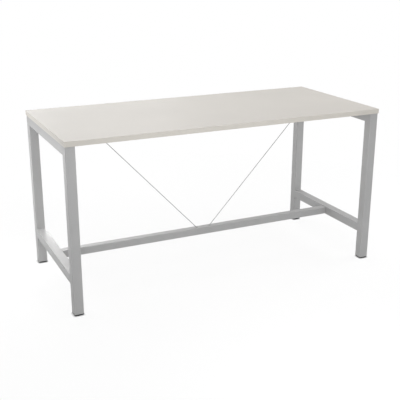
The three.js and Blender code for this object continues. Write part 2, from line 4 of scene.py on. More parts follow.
import bmesh
import bpy
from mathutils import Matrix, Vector


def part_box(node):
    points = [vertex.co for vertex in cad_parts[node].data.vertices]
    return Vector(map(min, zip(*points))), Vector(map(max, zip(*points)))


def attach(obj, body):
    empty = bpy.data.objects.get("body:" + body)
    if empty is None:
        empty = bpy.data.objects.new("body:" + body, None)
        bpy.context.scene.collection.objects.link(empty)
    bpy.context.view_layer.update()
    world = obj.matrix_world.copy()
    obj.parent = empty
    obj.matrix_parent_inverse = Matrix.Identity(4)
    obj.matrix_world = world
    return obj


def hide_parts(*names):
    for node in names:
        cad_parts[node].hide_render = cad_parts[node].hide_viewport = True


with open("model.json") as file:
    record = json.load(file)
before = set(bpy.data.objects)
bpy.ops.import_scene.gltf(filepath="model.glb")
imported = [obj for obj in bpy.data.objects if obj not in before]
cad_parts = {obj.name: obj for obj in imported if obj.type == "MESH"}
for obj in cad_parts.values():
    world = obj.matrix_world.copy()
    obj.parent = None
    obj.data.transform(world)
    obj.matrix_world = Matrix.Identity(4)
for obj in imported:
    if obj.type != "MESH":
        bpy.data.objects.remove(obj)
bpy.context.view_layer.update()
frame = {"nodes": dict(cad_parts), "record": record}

# A standing meeting table. Metres, Z up, the floor at zero and the front at -Y, as in the CAD model.
# Of two pieces that face each other one is modelled, and the other is a copy turned half round.

FRAME_BODY = "frame"
SIDES = ("left", "right")
ROWS = ("front", "rear")
HALF_TURN = math.pi
QUARTER_TURN = math.pi / 2
EASE_STEPS = 2
EASE_ANGLE = math.radians(35)
SMOOTH_ANGLE = math.radians(38)
MERGE_DISTANCE = 2e-6
TINY = 1e-6
POINT_SIZE = 0.001
HEXAGON = 6
SELECT_MODES = {"edges": "EDGE", "verts": "VERT"}

# Tubes
FRAME_WALL = 0.002
FRAME_CORNER = 0.0025
BEAM_WALL = 0.002
BEAM_CORNER = 0.0025
CORNER_STEPS = 6

# Board and edge bands; the bevel of a band stops just short of half its thickness
BOARD_EASE = 0.0004
BOARD_STEPS = 2
BAND_ROUND = 0.001
BAND_CUT = 0.98 * BAND_ROUND
BAND_STEPS = 4

# Holes in the tubes and the board; the margins are how far a tool stands out of a wall
HOLE_SIDES = 32
HOLE_DEPTH = 0.02
CUT_MARGIN = 0.001
WALL_MARGIN = 0.002
SCREW_HOLE = 0.0028
ACCESS_HOLE = 0.008
LOCK_HOLE = 0.0043
TENSION_HOLE = 0.0033
WIRE_ENTRY = 0.005
WIRE_ENTRY_LOW = 0.04
WIRE_ENTRY_HIGH = 0.12
PILOT_DEPTH = 0.024

# Screws that are drawn with the head's bearing face at zero and the point up
SCREW_STEPS = 32
SCREW_EASE = 0.0002
DOME_START = math.radians(28)
DOME_STEPS = 4
DOME_RIM = 0.3
LOCK_SCREW = {
    "radius": 0.004, "length": 0.009, "chamfer": 0.0008,
    "head": 0.007, "height": 0.004, "key": 0.0029, "depth": 0.0025,
}
TENSION_SCREW = {
    "radius": 0.003, "length": 0.030, "chamfer": 0.0006,
    "head": 0.0055, "height": 0.0035, "key": 0.0023, "depth": 0.002,
}
TOP_SCREW = {"radius": 0.0025, "length": 0.025, "point": 0.004, "head": 0.0055, "height": 0.0035}
TOP_SCREW_STEPS = 24
TOP_THREAD_ROOT = 0.72
TOP_THREAD_START = 0.003
TOP_THREAD_PITCH = 0.002
TOP_THREAD_RIDGE = (0.0004, 0.0006, 0.001)
RECESS_LENGTH = 0.0056
RECESS_WIDTH = 0.0012
RECESS_DEPTH = 0.0018

# The corners of a pan head, as shares of its radius and its height
PAN_HEAD = ((0, 1), (0.55, 1), (0.85, 0.75), (1, 0.3), (1, 0))

# Tie wires, measured along a wire from the point below the foot rail where the two meet
WIRE_PIN = Vector((-0.752, 0.0, 1.002))
WIRE_MEETING = Vector((0.0, 0.0, 0.199))
WIRE_RADIUS = 0.002
WIRE_STRANDS = 6
WIRE_LAYS = 36
WIRE_STEPS = 20
WIRE_LOW = 0.01766
WIRE_HIGH = 1.07684

# The corners of one strand from valley to valley, as shares of the wire's radius
STRAND_SHAPE = (0.80, 0.93, 1.0, 0.93)

# Forks, pins and tabs at the upper ends of the wires; the two rounds of a nose stop just short of it
TAB_NOSE = 0.008
TAB_FOOT = 0.036
TAB_THICK = 0.005
TAB_EASE = 0.0004
FORK_NOSE = 0.007
NOSE_CUT = 0.999 * FORK_NOSE
NOSE_STEPS = 12
FORK_EASE = 0.0008
FORK_EASE_STEPS = 3
FORK_WIDTH = 0.0116
FORK_SLOT = 0.0056
FORK_THROAT = 0.010
FORK_BRIDGE = 0.007
SLEEVE_RADIUS = 0.0035
SLEEVE_LENGTH = 0.030
SLEEVE_BORE = 0.0023
SLEEVE_BORE_DEPTH = 0.024
CRIMP_PLACES = (0.006, 0.013, 0.020)
CRIMP_FLAT = 0.0014
CRIMP_SLOPE = 0.0026
CRIMP_SQUEEZE = 0.82
PIN_HOLE = 0.0033
PIN_RADIUS = 0.003
PIN_HEAD = 0.005
PIN_HEAD_HEIGHT = 0.002
PIN_RIM = 0.25
PIN_DOME_STEPS = 5
PIN_GAP = 0.0003

# Feet, as heights above the floor with the stem screwed right in
FLANGE_LOW = 0.0045
FLANGE_HIGH = 0.0105
PLUG_HIGH = 0.0365
PLUG_SIZE = 0.0554
PLUG_WALL = 0.0025
PLUG_ROOT = 0.001
PLUG_EASE = 0.0006
FLANGE_ROUND = 0.0008
FLANGE_ROUND_STEPS = 3
BOSS_RADIUS = 0.0134
RIB_WIDTH = 0.0024
RIB_HIGH = 0.0243
COUNTERBORE = 0.0106
COUNTERBORE_HIGH = 0.0153
STEM_BORE = 0.0053
NUT_POCKET = 0.0101
NUT_LOW = 0.0243
NUT_HIGH = 0.0323
THREAD_CREST = 0.005
THREAD_ROOT = 0.0042
THREAD_PITCH = 0.0015
THREAD_LAND = THREAD_PITCH / 8
THREAD_STEPS = 24
THREAD_LOW = 0.0140
THREAD_HIGH = 0.062
HEX_LOW = 0.0093
HEX_HIGH = 0.0143
HEX_RADIUS = 0.0075
HEX_EASE = 0.0004
HEX_EASE_ANGLE = math.radians(40)
STEM_STEPS = 24
PAD_STEPS = 64
TREAD_DEPTH = 0.0004
TREAD_CREST = 0.0009
TREAD_ROOT = 0.0013
TREAD_RINGS = (0.006, 0.0105, 0.015, 0.0195)

# Profiles of the feet, as corners at a radius and a height
STEM_BUTTON = ((0, 0.0033), (0.0042, 0.0033), (0.0047, 0.0038), (0.0047, 0.0062), (0.0042, 0.0067))
STEM_NECK = ((0.0037, 0.0067), (0.0037, 0.0095), (0.0041, 0.0095), (0.0041, 0.0141), (0, 0.0141))
PAD_RIM = (
    (0.0236, TREAD_DEPTH), (0.0240, 0), (0.0258, 0), (0.0266, 0.0004),
    (0.027, 0.0012), (0.027, 0.0024), (0.0268, 0.0028), (0.0262, 0.0031),
)
PAD_CROWN = ((0.0200, 0.0041), (0.0190, 0.0042), (0.0104, 0.0042))
PAD_COLLAR = ((0.0100, 0.0046), (0.0100, 0.0086), (0.0096, 0.009), (0.0044, 0.009), (0.004, 0.0086))
PAD_SOCKET = ((0.004, 0.007), (0.005, 0.007), (0.005, 0.003), (0, 0.003))

# Welds
BEAD_RADIUS = 0.0026
BEAD_RIPPLE = 0.07
BEAD_STEP = 0.0022
BEAD_POINTS = 3
BEAD_SIDES = 3
BEAD_CORNER = 0.005
BEAD_CORNER_STEPS = 6
BEAD_PROUD = 0.0006
BEAD_OFFSET = 0.0004
BEAD_END = 0.001
BEAD_SMOOTH_ANGLE = math.radians(60)


# Working with one piece at a time

def clear_selection():
    bpy.ops.object.select_all(action="DESELECT")


def take(piece):
    clear_selection()
    piece.select_set(True)
    bpy.context.view_layer.objects.active = piece


def edit(piece):
    take(piece)
    bpy.ops.object.mode_set(mode="EDIT")
    bpy.ops.mesh.select_mode(type="VERT")
    bpy.ops.mesh.select_all(action="SELECT")


def stop_editing():
    bpy.ops.object.mode_set(mode="OBJECT")


def new_piece(name):
    """The primitive that was just added, under its own name and with its place in its mesh."""
    piece = bpy.context.object
    piece.name = name
    settle(piece)
    return piece


def settle(piece, place=None, turn=None):
    """Moves and turns a piece, then puts that into its mesh, so that its object stays at the origin."""
    take(piece)
    if place is not None:
        piece.location = place
    if turn is not None:
        piece.rotation_euler = turn
    bpy.ops.object.transform_apply(location=True, rotation=True, scale=True)


def twin(piece, name, place=None, turn=None):
    """A copy with a mesh of its own, moved and turned about the origin."""
    copied = piece.copy()
    copied.data = piece.data.copy()
    copied.name = name
    bpy.context.scene.collection.objects.link(copied)
    settle(copied, place, turn)
    return copied


def select_parts(parts, test):
    """Selects those edges or vertices of the piece in hand that pass the test."""
    mesh = bmesh.from_edit_mesh(bpy.context.object.data)
    bpy.ops.mesh.select_mode(type=SELECT_MODES[parts])
    bpy.ops.mesh.select_all(action="DESELECT")
    for part in getattr(mesh, parts):
        if test(part):
            part.select_set(True)
    mesh.select_flush_mode()
    bmesh.update_edit_mesh(bpy.context.object.data)


def tidy_mesh(piece):
    """Merges doubled corners, drops slivers and turns every face outwards."""
    edit(piece)
    bpy.ops.mesh.remove_doubles(threshold=MERGE_DISTANCE)
    bpy.ops.mesh.dissolve_degenerate(threshold=MERGE_DISTANCE)
    bpy.ops.mesh.select_all(action="SELECT")
    bpy.ops.mesh.normals_make_consistent(inside=False)
    stop_editing()


def apply_modifier(piece, kind, **settings):
    take(piece)
    modifier = piece.modifiers.new(kind.lower(), kind)
    for name, value in settings.items():
        setattr(modifier, name, value)
    bpy.ops.object.modifier_apply(modifier=modifier.name)


def combine(piece, tool, how):
    """Cuts a tool out of a piece, or fuses it on, and throws the tool away."""
    apply_modifier(piece, "BOOLEAN", object=tool, operation=how, solver="EXACT")
    bpy.data.objects.remove(tool)


def cut(piece, *tools):
    for tool in tools:
        combine(piece, tool, "DIFFERENCE")


def fuse(piece, *tools):
    for tool in tools:
        combine(piece, tool, "UNION")


def soften(piece, width, steps=EASE_STEPS, angle=EASE_ANGLE):
    """Breaks every edge that is sharper than an angle."""
    apply_modifier(
        piece, "BEVEL", width=width, segments=steps, limit_method="ANGLE",
        angle_limit=angle, use_clamp_overlap=True,
    )


def smooth(piece, angle=SMOOTH_ANGLE):
    """Smooth shading over curves, with flat faces left truly flat."""
    take(piece)
    bpy.ops.object.shade_smooth_by_angle(angle=angle)
    apply_modifier(piece, "WEIGHTED_NORMAL", keep_sharp=True)


def drill(place, radius, low, high, sides=HOLE_SIDES, lean=0.0):
    """A tool for a round or hexagonal hole along Z, between two heights about a place."""
    clear_selection()
    bpy.ops.mesh.primitive_cylinder_add(
        vertices=sides, radius=radius, depth=high - low, location=(0, 0, (low + high) / 2),
    )
    tool = new_piece("drill")
    settle(tool, place, (0, lean, 0))
    return tool


def single_point(name):
    """A piece of one vertex at the origin, left in edit mode to be drawn out."""
    clear_selection()
    bpy.ops.mesh.primitive_plane_add(size=POINT_SIZE)
    piece = new_piece(name)
    edit(piece)
    bpy.ops.mesh.merge(type="CENTER")
    return piece


def turned(name, profile, steps=SCREW_STEPS):
    """A piece turned about the Z axis: one vertex is drawn along (radius, height) corners, then spun."""
    piece = single_point(name)
    drawn = (0.0, 0.0)
    for number, corner in enumerate(profile):
        step = (corner[0] - drawn[0], 0, corner[1] - drawn[1])
        if number == 0:
            bpy.ops.transform.translate(value=step)
        else:
            bpy.ops.mesh.extrude_region_move(TRANSFORM_OT_translate={"value": step})
        drawn = corner
    bpy.ops.mesh.select_all(action="SELECT")
    bpy.ops.mesh.spin(steps=steps, angle=math.tau, center=(0, 0, 0), axis=(0, 0, 1))
    stop_editing()
    tidy_mesh(piece)
    return piece


def box_piece(name, low, high):
    """A block between two corners, as a start for a piece."""
    low, high = Vector(low), Vector(high)
    clear_selection()
    bpy.ops.mesh.primitive_cube_add(size=1, location=(low + high) / 2, scale=high - low)
    return new_piece(name)


def middle_of(node, height=0.0):
    """The middle of a CAD node in plan, at a height."""
    low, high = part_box(node)
    return ((low.x + high.x) / 2, (low.y + high.y) / 2, height)


def hand_over(piece, node, finish, body=FRAME_BODY):
    """The finished piece stands for a CAD node, rides on its body and has its finish."""
    piece.name = node + "_finished"
    tidy_mesh(piece)
    smooth(piece)
    piece.data.materials.clear()
    piece.data.materials.append(FINISHES[finish])
    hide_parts(node)
    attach(piece, body)


def hand_over_both(piece, node, far_node, finish):
    """The piece stands for one node, and a copy of it turned half round for the node opposite."""
    hand_over(twin(piece, far_node, turn=(0, 0, HALF_TURN)), far_node, finish)
    hand_over(piece, node, finish)


# Finishes: patterns in grains for each metre, tones as shares of a colour, bumps as strength and depth

NOISE_LOW = 0.3
NOISE_HIGH = 0.7
BOARD_LOOK = {
    "specular": 0.35, "clouds": 2.5, "tones": (0.98, 1.02), "darkest_fleck": 0.93,
    "roughness": (-0.05, 0.05), "bump": (0.14, 0.0002),
}
PAINT_LOOK = {
    "clouds": 6.0, "tones": (0.975, 1.025), "flakes": 1600, "darkest_fleck": 0.82,
    "roughness": (-0.06, 0.06), "peel": 380, "bump": (0.2, 0.0003),
}
MOULD_LOOK = {
    "specular": 0.2, "dust": 60, "tones": (0.8, 1.5),
    "roughness": (-0.08, 0.1), "grain": 1100, "bump": (0.25, 0.0002),
}
PLATE_LOOK = {
    "tones": (0.88, 1.06), "roughness": (-0.07, 0.09), "marks": 900, "bump": (0.10, 0.0001),
}


def start_finish(name, colour, metallic, roughness):
    """A material with its plain values on the shader's own sockets."""
    material = bpy.data.materials.new(name)
    material.use_nodes = True
    shader = material.node_tree.nodes["Principled BSDF"]
    shader.inputs["Base Color"].default_value = (*colour, 1)
    shader.inputs["Metallic"].default_value = metallic
    shader.inputs["Roughness"].default_value = roughness
    return material, shader


def pattern(material, scale, detail=2.0, stretch=(1, 1, 1)):
    """Noise on the piece's own coordinates; the scale is in grains for each metre."""
    tree = material.node_tree
    coordinates = tree.nodes.new("ShaderNodeTexCoord")
    mapping = tree.nodes.new("ShaderNodeMapping")
    mapping.inputs["Scale"].default_value = stretch
    noise = tree.nodes.new("ShaderNodeTexNoise")
    noise.inputs["Scale"].default_value = scale
    noise.inputs["Detail"].default_value = detail
    tree.links.new(coordinates.outputs["Object"], mapping.inputs["Vector"])
    tree.links.new(mapping.outputs["Vector"], noise.inputs["Vector"])
    return noise.outputs["Fac"]


def spread(material, value, low, high):
    """Brings a noise value, which keeps to the middle, out to a range."""
    tree = material.node_tree
    ranged = tree.nodes.new("ShaderNodeMapRange")
    ranged.inputs["From Min"].default_value = NOISE_LOW
    ranged.inputs["From Max"].default_value = NOISE_HIGH
    ranged.inputs["To Min"].default_value = low
    ranged.inputs["To Max"].default_value = high
    tree.links.new(value, ranged.inputs["Value"])
    return ranged.outputs["Result"]


def near(colour, share):
    """A tone near a colour, as a share of it."""
    return tuple(min(1.0, part * share) for part in colour)


def tones(material, value, colour, shares):
    """A colour between a darker and a lighter tone of it."""
    dark, light = shares
    tree = material.node_tree
    mix = tree.nodes.new("ShaderNodeMix")
    mix.data_type = "RGBA"
    mix.inputs["A"].default_value = (*near(colour, dark), 1)
    mix.inputs["B"].default_value = (*near(colour, light), 1)
    tree.links.new(spread(material, value, 0, 1), mix.inputs["Factor"])
    return mix.outputs["Result"]


def flecked(material, colour, value, darkest):
    """Fine flecks that darken a colour a little."""
    tree = material.node_tree
    mix = tree.nodes.new("ShaderNodeMix")
    mix.data_type = "RGBA"
    mix.blend_type = "MULTIPLY"
    mix.inputs["Factor"].default_value = 1
    grey = tree.nodes.new("ShaderNodeCombineColor")
    shade = spread(material, value, darkest, 1)
    for channel in ("Red", "Green", "Blue"):
        tree.links.new(shade, grey.inputs[channel])
    tree.links.new(colour, mix.inputs["A"])
    tree.links.new(grey.outputs["Color"], mix.inputs["B"])
    return mix.outputs["Result"]


def bumpy(material, shader, value, bump_size):
    """Lets a pattern stand up out of the surface."""
    strength, depth = bump_size
    tree = material.node_tree
    bump = tree.nodes.new("ShaderNodeBump")
    bump.inputs["Strength"].default_value = strength
    bump.inputs["Distance"].default_value = depth
    tree.links.new(value, bump.inputs["Height"])
    tree.links.new(bump.outputs["Normal"], shader.inputs["Normal"])


def uneven(material, shader, value, roughness, changes):
    """Lets the roughness wander a little to both sides of its middle."""
    low, high = (roughness + change for change in changes)
    material.node_tree.links.new(spread(material, value, low, high), shader.inputs["Roughness"])


def board_finish(name, colour, roughness, fleck_scale, grain_scale):
    """Melamine or plastic edging: soft clouds, fine flecks and a pearled surface."""
    material, shader = start_finish(name, colour, metallic=0.0, roughness=roughness)
    shader.inputs["Specular IOR Level"].default_value = BOARD_LOOK["specular"]
    cloud = tones(material, pattern(material, BOARD_LOOK["clouds"]), colour, BOARD_LOOK["tones"])
    fleck = pattern(material, fleck_scale, detail=1.0)
    tone = flecked(material, cloud, fleck, BOARD_LOOK["darkest_fleck"])
    material.node_tree.links.new(tone, shader.inputs["Base Color"])
    uneven(material, shader, fleck, roughness, BOARD_LOOK["roughness"])
    bumpy(material, shader, pattern(material, grain_scale, detail=3.0), BOARD_LOOK["bump"])
    return material


def paint_finish(name, colour, metallic, roughness):
    """Silver powder coat: metal flakes and a slight orange peel."""
    material, shader = start_finish(name, colour, metallic, roughness)
    flakes = pattern(material, PAINT_LOOK["flakes"], detail=1.0)
    cloud = tones(material, pattern(material, PAINT_LOOK["clouds"]), colour, PAINT_LOOK["tones"])
    tone = flecked(material, cloud, flakes, PAINT_LOOK["darkest_fleck"])
    material.node_tree.links.new(tone, shader.inputs["Base Color"])
    uneven(material, shader, flakes, roughness, PAINT_LOOK["roughness"])
    bumpy(material, shader, pattern(material, PAINT_LOOK["peel"]), PAINT_LOOK["bump"])
    return material


def moulded_finish(name, colour, roughness):
    """Black plastic from a spark-eroded mould, a little dusty."""
    material, shader = start_finish(name, colour, metallic=0.0, roughness=roughness)
    shader.inputs["Specular IOR Level"].default_value = MOULD_LOOK["specular"]
    dust = pattern(material, MOULD_LOOK["dust"], detail=4.0)
    tone = tones(material, dust, colour, MOULD_LOOK["tones"])
    material.node_tree.links.new(tone, shader.inputs["Base Color"])
    uneven(material, shader, dust, roughness, MOULD_LOOK["roughness"])
    bumpy(material, shader, pattern(material, MOULD_LOOK["grain"]), MOULD_LOOK["bump"])
    return material


def plated_finish(name, colour, roughness, cloud_scale, stretch=(1, 1, 1)):
    """Zinc plate or drawn wire: clouded metal with fine drawing marks."""
    material, shader = start_finish(name, colour, metallic=1.0, roughness=roughness)
    cloud = pattern(material, cloud_scale, detail=3.0)
    tone = tones(material, cloud, colour, PLATE_LOOK["tones"])
    material.node_tree.links.new(tone, shader.inputs["Base Color"])
    uneven(material, shader, cloud, roughness, PLATE_LOOK["roughness"])
    bumpy(material, shader, pattern(material, PLATE_LOOK["marks"], stretch=stretch), PLATE_LOOK["bump"])
    return material


FINISHES = {
    "laminate": board_finish(
        "laminate_pale_grey", (0.682, 0.652, 0.608), roughness=0.55, fleck_scale=520, grain_scale=800,
    ),
    "edge_band": board_finish(
        "edge_band_pale_grey", (0.656, 0.628, 0.577), roughness=0.5, fleck_scale=700, grain_scale=1000,
    ),
    "silver_paint": paint_finish("paint_silver", (0.445, 0.445, 0.445), metallic=0.1, roughness=0.45),
    "black_plastic": moulded_finish("plastic_black", (0.010, 0.010, 0.011), roughness=0.65),
    "zinc_steel": plated_finish("steel_zinc_plated", (0.60, 0.61, 0.63), roughness=0.36, cloud_scale=140),
    "wire_steel": plated_finish(
        "steel_wire_bright", (0.20, 0.20, 0.20), roughness=0.36, cloud_scale=90, stretch=(1, 1, 0.2),
    ),
}


# Top

def make_board():
    """Plain board with eased edges, and pilot holes from below for the screws that hold it."""
    low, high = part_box("top_board")
    board = box_piece("board", low, high)
    edit(board)
    bpy.ops.mesh.bevel(offset=BOARD_EASE, segments=BOARD_STEPS, affect="EDGES")
    stop_editing()
    pilots = [node for node in frame["nodes"] if node.startswith(("top_screw", "spine_screw"))]
    for node in pilots:
        cut(board, drill(middle_of(node, low.z), SCREW_HOLE, -CUT_MARGIN, PILOT_DEPTH))
    hand_over(board, "top_board", "laminate")


def round_band(band, is_outer):
    """Rounds those edges of a band that a hand can touch."""
    edit(band)
    select_parts("edges", is_outer)
    bpy.ops.mesh.bevel(offset=BAND_CUT, segments=BAND_STEPS, affect="EDGES")
    stop_editing()


def make_long_band():
    """The front band covers the ends of the short ones, so its end corners are rounded too."""
    low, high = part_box("edge_band_front")
    band = box_piece("band", low, high)

    def is_outer(edge):
        one, other = (corner.co for corner in edge.verts)
        on_face = max(one.y, other.y) < low.y + BAND_ROUND
        on_end = abs(one.x - other.x) < BAND_ROUND and abs(one.z - other.z) < BAND_ROUND
        return on_face or on_end

    round_band(band, is_outer)
    hand_over_both(band, "edge_band_front", "edge_band_rear", "edge_band")


def make_short_band():
    """The left band ends against the long ones, so only its outer long edges are rounded."""
    low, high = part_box("edge_band_left")
    band = box_piece("band", low, high)

    def is_outer(edge):
        one, other = (corner.co for corner in edge.verts)
        return max(one.x, other.x) < low.x + BAND_ROUND and abs(one.z - other.z) < BAND_ROUND

    round_band(band, is_outer)
    hand_over_both(band, "edge_band_left", "edge_band_right", "edge_band")


# Tubes

def square_tube(name, node, wall, corner, along):
    """A drawn tube where a CAD node is: a square with rounded corners, inset by its wall and extruded."""
    low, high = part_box(node)
    size = high - low
    axis = "XYZ".index(along)
    across = (axis + 1) % 3
    clear_selection()
    bpy.ops.mesh.primitive_plane_add(size=size[across])
    tube = new_piece(name)
    edit(tube)
    bpy.ops.mesh.bevel(offset=corner, segments=CORNER_STEPS, affect="VERTICES")
    bpy.ops.mesh.inset(thickness=wall)
    bpy.ops.mesh.delete(type="FACE")
    bpy.ops.mesh.select_all(action="SELECT")
    bpy.ops.mesh.extrude_region_move(TRANSFORM_OT_translate={"value": (0, 0, size[axis])})
    stop_editing()
    start = (low + high) / 2
    start[axis] = low[axis]
    turns = {"X": (0, QUARTER_TURN, 0), "Y": (-QUARTER_TURN, 0, 0), "Z": (0, 0, 0)}
    settle(tube, start, turns[along])
    tidy_mesh(tube)
    return tube


def make_legs():
    leg = square_tube("leg", "leg_left_front", FRAME_WALL, FRAME_CORNER, "Z")
    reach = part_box("leg_left_rear")[0].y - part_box("leg_left_front")[0].y
    rear = twin(leg, "leg_rear", place=(0, reach, 0))
    hand_over(twin(leg, "leg_far", turn=(0, 0, HALF_TURN)), "leg_right_rear", "silver_paint")
    hand_over(twin(rear, "leg_far", turn=(0, 0, HALF_TURN)), "leg_right_front", "silver_paint")
    hand_over(leg, "leg_left_front", "silver_paint")
    hand_over(rear, "leg_left_rear", "silver_paint")


def screw_passage(node, low_wall, high_wall):
    """Tools for a screw's hole in a tube's upper wall and the wide access hole in the wall below."""
    place = middle_of(node)
    half = (low_wall + high_wall) / 2
    return [
        drill(place, SCREW_HOLE, half, high_wall + WALL_MARGIN),
        drill(place, ACCESS_HOLE, low_wall - WALL_MARGIN, half),
    ]


def make_cross_rails():
    rail = square_tube("cross", "cross_rail_left", FRAME_WALL, FRAME_CORNER, "Y")
    hand_over_both(rail, "cross_rail_left", "cross_rail_right", "silver_paint")


def make_top_rails():
    rail = square_tube("top_rail", "top_rail_left", FRAME_WALL, FRAME_CORNER, "Y")
    low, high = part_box("top_rail_left")
    for row in ROWS:
        cut(rail, *screw_passage(f"top_screw_left_{row}", low.z, high.z))
    hand_over_both(rail, "top_rail_left", "top_rail_right", "silver_paint")


def lock_holes(beam):
    """Tools for the holes in a beam's lower wall that its two lock screws go through."""
    low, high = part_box(f"{beam}_lock_screw_left")
    place_x = (low.x + high.x) / 2
    return [drill((x, 0, high.z), LOCK_HOLE, -HOLE_DEPTH, CUT_MARGIN) for x in (place_x, -place_x)]


def wire_lean():
    """The turn about Y that leans the Z axis onto the left wire."""
    rise = WIRE_PIN - WIRE_MEETING
    return math.atan2(rise.x, rise.z)


def make_foot_rail():
    """Drilled below for its lock screws and the tension screw, and above for the two wires."""
    rail = square_tube("foot", "foot_rail", BEAM_WALL, BEAM_CORNER, "X")
    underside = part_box("foot_rail")[0].z
    cut(rail, *lock_holes("foot"))
    cut(rail, drill((0, 0, underside), TENSION_HOLE, -WALL_MARGIN, HOLE_DEPTH))
    for lean in (wire_lean(), -wire_lean()):
        cut(rail, drill(WIRE_MEETING, WIRE_ENTRY, WIRE_ENTRY_LOW, WIRE_ENTRY_HIGH, lean=lean))
    hand_over(rail, "foot_rail", "silver_paint")


def make_spine_beam():
    spine = square_tube("spine", "spine_beam", BEAM_WALL, BEAM_CORNER, "X")
    low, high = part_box("spine_beam")
    cut(spine, *lock_holes("spine"))
    for side in SIDES:
        cut(spine, *screw_passage(f"spine_screw_{side}", low.z, high.z))
    hand_over(spine, "spine_beam", "silver_paint")


# Screws

def socket_screw(name, size):
    """A domed screw that points up from zero, with a hexagonal socket in its head."""
    head, height = size["head"], size["height"]
    radius, length, chamfer = size["radius"], size["length"], size["chamfer"]
    profile = [(0, -height)]
    for step in range(DOME_STEPS + 1):
        turn = DOME_START + (QUARTER_TURN - DOME_START) * step / DOME_STEPS
        dome = height * (1 - DOME_RIM) * math.cos(turn) / math.cos(DOME_START)
        profile.append((head * math.sin(turn), -height * DOME_RIM - dome))
    profile += [(head, 0), (radius, 0), (radius, length - chamfer)]
    profile += [(radius - chamfer, length), (0, length)]
    screw = turned(name, profile)
    cut(screw, drill((0, 0, 0), size["key"], -height - CUT_MARGIN, size["depth"] - height, HEXAGON))
    soften(screw, SCREW_EASE)
    return screw


def place_screws(screw, nodes, head_height):
    """One screw for each node, its bearing face under the head where the node's is."""
    for node in nodes:
        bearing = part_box(node)[0].z + head_height
        hand_over(twin(screw, node, place=middle_of(node, bearing)), node, "zinc_steel")
    bpy.data.objects.remove(screw)


def make_socket_screws():
    lock = socket_screw("lock", LOCK_SCREW)
    nodes = [f"{beam}_lock_screw_{side}" for beam in ("foot", "spine") for side in SIDES]
    place_screws(lock, nodes, LOCK_SCREW["height"])
    tension = socket_screw("tension", TENSION_SCREW)
    place_screws(tension, ["wire_tension_screw"], TENSION_SCREW["height"])


def top_screw_profile():
    """A pan head, ridges of thread up the shank and a point, from the head's crown up."""
    head, height, radius = TOP_SCREW["head"], TOP_SCREW["height"], TOP_SCREW["radius"]
    shank = TOP_SCREW["length"] - TOP_SCREW["point"]
    profile = [(head * across, -height * down) for across, down in PAN_HEAD]
    profile.append((radius, 0))
    root = radius * TOP_THREAD_ROOT
    rise = TOP_THREAD_START
    while rise + TOP_THREAD_PITCH < shank:
        crest_low, crest_high, foot = (rise + part for part in TOP_THREAD_RIDGE)
        profile += [(root, rise), (radius, crest_low), (radius, crest_high), (root, foot)]
        rise += TOP_THREAD_PITCH
    return profile + [(root, shank), (0, TOP_SCREW["length"])]


def make_top_screws():
    """Pan heads with a cross recess, driven up into the board."""
    height = TOP_SCREW["height"]
    screw = turned("top_screw", top_screw_profile(), TOP_SCREW_STEPS)
    half, width = RECESS_LENGTH / 2, RECESS_WIDTH / 2
    mouth, floor = -height - CUT_MARGIN, RECESS_DEPTH - height
    cut(screw, box_piece("recess", (-half, -width, mouth), (half, width, floor)))
    cut(screw, box_piece("recess", (-width, -half, mouth), (width, half, floor)))
    nodes = [f"top_screw_{side}_{row}" for side in SIDES for row in ROWS]
    nodes += [f"spine_screw_{side}" for side in SIDES]
    place_screws(screw, nodes, height)


# Tie wires

def on_wire(piece):
    """Leans a piece that was made on the Z axis onto the left wire."""
    settle(piece, WIRE_MEETING, (0, wire_lean(), 0))


def place_on_strand(corner):
    """Which corner of its strand this is, counted from the valley between two strands."""
    corners = len(STRAND_SHAPE)
    turn = math.atan2(corner.co.y, corner.co.x) / math.tau
    return round(turn * corners * WIRE_STRANDS) % corners


def make_wires():
    """Six strands laid round: a lobed ring, carried up and turned by the Screw modifier."""
    corners = len(STRAND_SHAPE) * WIRE_STRANDS
    clear_selection()
    bpy.ops.mesh.primitive_circle_add(vertices=corners, radius=WIRE_RADIUS, location=(0, 0, WIRE_LOW))
    wire = new_piece("wire")
    edit(wire)
    for number, share in enumerate(STRAND_SHAPE):
        select_parts("verts", lambda corner: place_on_strand(corner) == number)
        bpy.ops.transform.resize(value=(share, share, 1), center_override=(0, 0, WIRE_LOW))
    stop_editing()
    lay = (WIRE_HIGH - WIRE_LOW) / WIRE_LAYS
    apply_modifier(
        wire, "SCREW", axis="Z", angle=math.tau, screw_offset=lay, iterations=WIRE_LAYS,
        steps=WIRE_STEPS, render_steps=WIRE_STEPS,
    )
    edit(wire)
    bpy.ops.mesh.fill_holes(sides=0)
    stop_editing()
    tidy_mesh(wire)
    on_wire(wire)
    hand_over_both(wire, "tie_wire_left", "tie_wire_right", "wire_steel")


def cross_drill(place, radius, length):
    """A tool for a round hole along Y, with its middle at a place."""
    clear_selection()
    bpy.ops.mesh.primitive_cylinder_add(
        vertices=HOLE_SIDES, radius=radius, depth=length, location=place, rotation=(QUARTER_TURN, 0, 0),
    )
    return new_piece("drill")


def make_tabs():
    """A plate with a round nose, drawn as the hull of its eye and its welded foot."""
    root = (WIRE_PIN.x, 0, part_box("wire_tab_left")[1].z)
    tab = cross_drill(WIRE_PIN, TAB_NOSE, TAB_THICK)
    edit(tab)
    bpy.ops.mesh.primitive_plane_add(size=1, location=root)
    bpy.ops.transform.resize(value=(TAB_FOOT, TAB_THICK, 1), center_override=root)
    bpy.ops.mesh.select_all(action="SELECT")
    bpy.ops.mesh.convex_hull()
    stop_editing()
    tidy_mesh(tab)
    cut(tab, cross_drill(WIRE_PIN, PIN_HOLE, 2 * TAB_THICK))
    soften(tab, TAB_EASE)
    hand_over_both(tab, "wire_tab_left", "wire_tab_right", "silver_paint")


